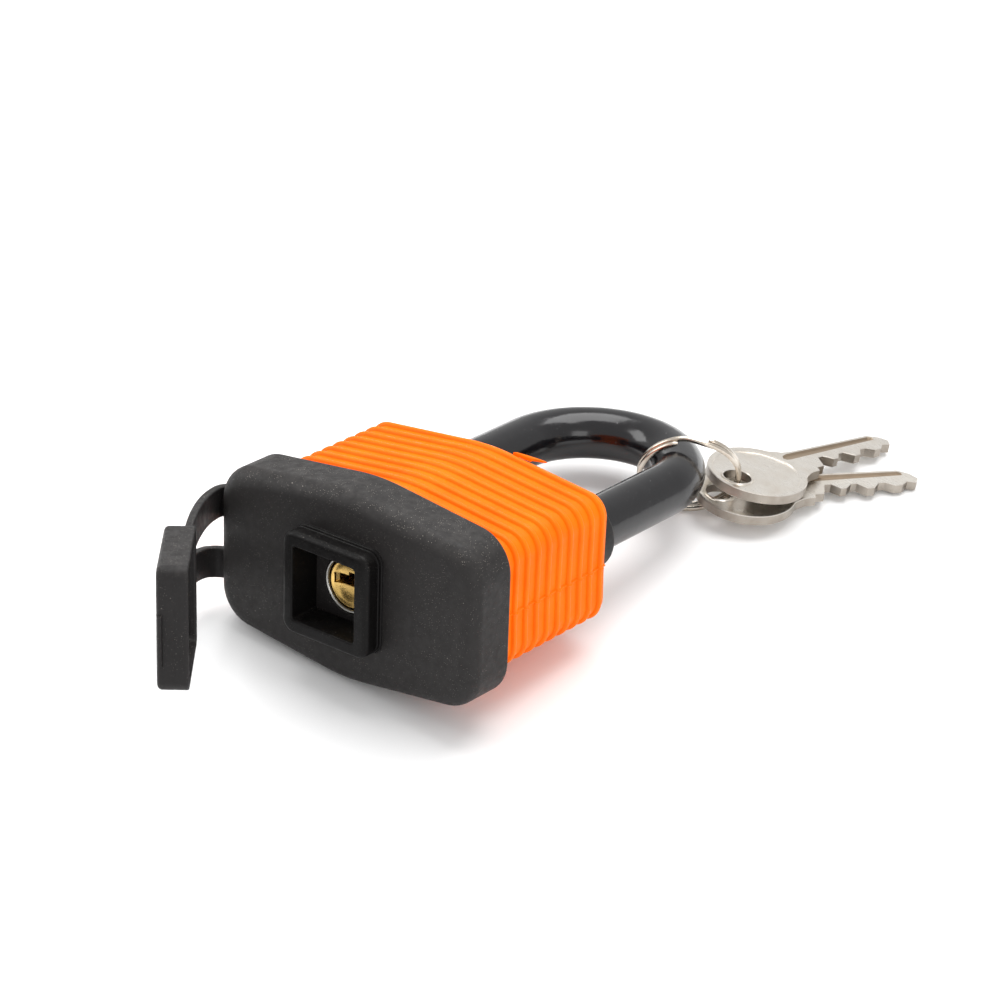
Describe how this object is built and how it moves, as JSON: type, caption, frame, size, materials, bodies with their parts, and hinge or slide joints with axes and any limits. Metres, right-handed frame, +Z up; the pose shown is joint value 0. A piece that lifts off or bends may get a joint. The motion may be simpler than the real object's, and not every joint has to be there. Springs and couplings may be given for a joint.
{
  "type": "weather-capped laminated padlock with keys",
  "caption": "Laminated padlock in a ribbed orange sleeve, black rubber weather cap with a strap-hinged keyway flap, coated shackle, and keys on a split ring.",
  "frame": {"origin": "centre of the bounding box on the ground the lock lies on", "axes": "+Z up, +Y from the keyway end towards the shackle and keys, +X to the right seen from the keyway end; the lock lies on one lower facet, so its own axes lean a few degrees"},
  "size_m": [0.078, 0.1799, 0.0391],
  "materials": {
    "black_rubber": "matte, dusty",
    "orange_vinyl": "satin soft vinyl",
    "black_coating": "glossy dipped coating",
    "plated_steel": "zinc plated",
    "brass": "satin",
    "spring_steel": "bright wire",
    "bright_nickel": "bright",
    "nickel_silver": "brushed, lightly worn"
  },
  "bodies": {
    "shackle": {"shackle_bar": "plated_steel", "shackle_coat": "black_coating"},
    "lock_body": {"weather_cap": "black_rubber", "rib_sleeve": "orange_vinyl", "shackle_seal_left": "black_rubber", "shackle_seal_right": "black_rubber", "flap_strap_upper": "black_rubber", "flap_strap_lower": "black_rubber", "keyway_plate": "plated_steel", "lamination_1": "plated_steel", "lamination_2": "plated_steel", "lamination_3": "plated_steel", "lamination_4": "plated_steel", "lamination_5": "plated_steel", "lamination_6": "plated_steel", "lamination_7": "plated_steel", "top_plate": "plated_steel", "body_rivet_a": "plated_steel", "body_rivet_b": "plated_steel", "body_rivet_c": "plated_steel", "body_rivet_d": "plated_steel", "cylinder_shell": "plated_steel", "shackle_spring": "spring_steel", "pin_spring_1": "spring_steel", "pin_spring_2": "spring_steel", "pin_spring_3": "spring_steel", "pin_spring_4": "spring_steel"},
    "plug": {"key_plug": "brass", "retaining_clip": "spring_steel", "locking_cam": "plated_steel", "key_pin_1": "brass", "key_pin_2": "brass", "key_pin_3": "brass", "key_pin_4": "brass"},
    "dog_left": {"locking_dog_left": "plated_steel"},
    "dog_right": {"locking_dog_right": "plated_steel"},
    "flap": {"keyway_flap": "black_rubber"},
    "ring": {"split_ring": "bright_nickel"},
    "key_upper": {"key_upper": "nickel_silver"},
    "key_lower": {"key_lower": "nickel_silver"},
    "driver_1": {"driver_pin_1": "plated_steel"},
    "driver_2": {"driver_pin_2": "plated_steel"},
    "driver_3": {"driver_pin_3": "plated_steel"},
    "driver_4": {"driver_pin_4": "plated_steel"}
  },
  "joints": [
    {"name": "shackle_lift", "type": "slide", "parent": "shackle", "child": "lock_body", "axis": [0, -0.9943, 0.1062], "range_m": [0, 0.0195], "deforming": ["shackle_spring"]},
    {"name": "plug_turn", "type": "hinge", "parent": "lock_body", "child": "plug", "pos_m": [-0.00323, -0.04728, 0.02012], "axis": [0, 0.9943, -0.1062], "range_deg": [0, 90]},
    {"name": "dog_left_slide", "type": "slide", "parent": "lock_body", "child": "dog_left", "axis": [0.993, 0.0126, 0.1175], "range_m": [0, 0.003]},
    {"name": "dog_right_slide", "type": "slide", "parent": "lock_body", "child": "dog_right", "axis": [-0.993, -0.0126, -0.1175], "range_m": [0, 0.003]},
    {"name": "flap_hinge", "type": "hinge", "parent": "lock_body", "child": "flap", "pos_m": [-0.03738, -0.05232, 0.01657], "axis": [-0.0911, 0.1789, 0.9796], "range_deg": [-20, 50], "stiffness_Nm_per_rad": 0.004, "deforming": ["flap_strap_upper", "flap_strap_lower"]},
    {"name": "driver_1_slide", "type": "slide", "parent": "lock_body", "child": "driver_1", "axis": [0.993, 0.0126, 0.1175], "range_m": [0, 0.0012], "stiffness_N_per_m": 150, "deforming": ["pin_spring_1"]},
    {"name": "driver_2_slide", "type": "slide", "parent": "lock_body", "child": "driver_2", "axis": [0.993, 0.0126, 0.1175], "range_m": [0, 0.0012], "stiffness_N_per_m": 150, "deforming": ["pin_spring_2"]},
    {"name": "driver_3_slide", "type": "slide", "parent": "lock_body", "child": "driver_3", "axis": [0.993, 0.0126, 0.1175], "range_m": [0, 0.0012], "stiffness_N_per_m": 150, "deforming": ["pin_spring_3"]},
    {"name": "driver_4_slide", "type": "slide", "parent": "lock_body", "child": "driver_4", "axis": [0.993, 0.0126, 0.1175], "range_m": [0, 0.0012], "stiffness_N_per_m": 150, "deforming": ["pin_spring_4"]},
    {"name": "ring_swing", "type": "hinge", "parent": "shackle", "child": "ring", "pos_m": [0.0092, 0.03788, 0.01251], "axis": [0.6898, -0.7065, 0.1581], "range_deg": [0, 12]},
    {"name": "key_upper_swing", "type": "hinge", "parent": "ring", "child": "key_upper", "pos_m": [0.01793, 0.04629, 0.00852], "axis": [0.0306, 0.1536, 0.9877], "range_deg": [-4.7, 6]},
    {"name": "key_lower_swing", "type": "hinge", "parent": "ring", "child": "key_lower", "pos_m": [0.01554, 0.04588, 0.00434], "axis": [0.04, 0.0635, 0.9972], "range_deg": [-6, 4.5]}
  ],
  "couplings": [
    {"joint": "plug_turn", "follows": "shackle_lift", "rad_per_m": 80.55},
    {"joint": "dog_left_slide", "follows": "shackle_lift", "ratio": 0.1538},
    {"joint": "dog_right_slide", "follows": "shackle_lift", "ratio": 0.1538}
  ]
}
